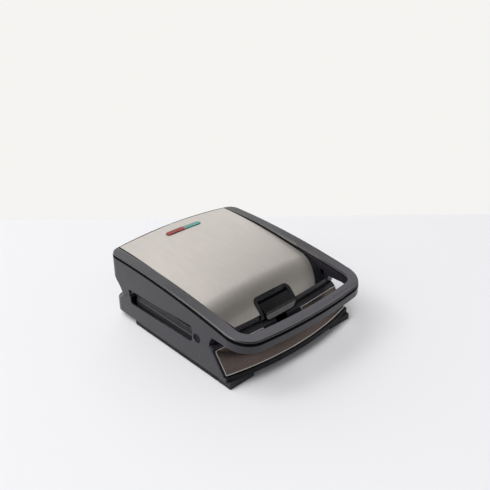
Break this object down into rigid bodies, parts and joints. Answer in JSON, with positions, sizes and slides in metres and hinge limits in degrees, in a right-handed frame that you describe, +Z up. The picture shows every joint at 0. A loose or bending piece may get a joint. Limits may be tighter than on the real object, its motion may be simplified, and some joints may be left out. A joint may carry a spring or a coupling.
{
  "type": "sandwich toaster",
  "caption": "Countertop sandwich toaster with a hinged lid, steel cover, loop handle, front latch and removable plates with triangular pockets.",
  "frame": {"origin": "middle of the footprint, on the surface that the feet stand on", "axes": "+X to the user's right seen from the front, +Y to the rear, +Z up"},
  "size_m": [0.245, 0.3, 0.1091],
  "materials": {
    "side_plastic": "satin",
    "trim_plastic": "satin",
    "black_plastic": "satin",
    "gloss_black": "gloss",
    "brushed_steel": "brushed",
    "bare_steel": "satin",
    "cast_metal": "cast",
    "non_stick": "non-stick coated",
    "element_steel": "matt",
    "reflector_sheet": "satin",
    "foot_rubber": "matt",
    "ceramic": "matt",
    "lamp_glass": "gloss",
    "board": "matt",
    "red_lens": "gloss",
    "green_lens": "gloss"
  },
  "bodies": {
    "base": {"base_shell": "side_plastic", "front_plate": "brushed_steel", "bottom_cover": "black_plastic", "front_feet": "foot_rubber", "rear_feet": "foot_rubber", "base_screws": "bare_steel", "lower_plate": "non_stick", "lower_element": "element_steel", "lower_reflector": "reflector_sheet", "lower_plate_clips": "bare_steel", "thermostat": "ceramic", "thermal_fuse": "ceramic", "terminal_block": "ceramic", "cord_inlet": "foot_rubber", "latch_catch": "bare_steel", "hinge_brackets": "bare_steel", "hinge_pins": "bare_steel"},
    "lid": {"lid_shell": "side_plastic", "lid_frame": "black_plastic", "handle_trim": "trim_plastic", "steel_cover": "brushed_steel", "hinge_arms": "cast_metal", "lid_screws": "bare_steel", "upper_plate": "non_stick", "upper_element": "element_steel", "upper_reflector": "reflector_sheet", "upper_plate_clips": "bare_steel", "red_lens": "red_lens", "green_lens": "green_lens", "lamp_board": "board", "neon_lamps": "lamp_glass", "latch_bezel": "black_plastic", "latch_pin": "bare_steel", "latch_spring": "bare_steel"},
    "latch": {"latch_lever": "gloss_black"},
    "lower_right_button": {"lower_right_button": "black_plastic"},
    "lower_left_button": {"lower_left_button": "black_plastic"},
    "upper_right_button": {"upper_right_button": "black_plastic"},
    "upper_left_button": {"upper_left_button": "black_plastic"}
  },
  "joints": [
    {"name": "lid_hinge", "type": "hinge", "parent": "base", "child": "lid", "pos_m": [0, 0.128, 0.03], "axis": [-1, 0, 0], "range_deg": [0, 95]},
    {"name": "latch_pivot", "type": "hinge", "parent": "lid", "child": "latch", "pos_m": [0, -0.078, 0.0585], "axis": [-1, 0, 0], "range_deg": [0, 15], "stiffness_Nm_per_rad": 0.06, "springref_deg": -14.32},
    {"name": "lower_right_button_press", "type": "slide", "parent": "base", "child": "lower_right_button", "axis": [-1, 0, 0], "range_m": [0, 0.003], "stiffness_N_per_m": 250, "springref_m": -0.002},
    {"name": "lower_left_button_press", "type": "slide", "parent": "base", "child": "lower_left_button", "axis": [1, 0, 0], "range_m": [0, 0.003], "stiffness_N_per_m": 250, "springref_m": -0.002},
    {"name": "upper_right_button_press", "type": "slide", "parent": "lid", "child": "upper_right_button", "axis": [-1, 0, 0], "range_m": [0, 0.003], "stiffness_N_per_m": 250, "springref_m": -0.002},
    {"name": "upper_left_button_press", "type": "slide", "parent": "lid", "child": "upper_left_button", "axis": [1, 0, 0], "range_m": [0, 0.003], "stiffness_N_per_m": 250, "springref_m": -0.002}
  ]
}
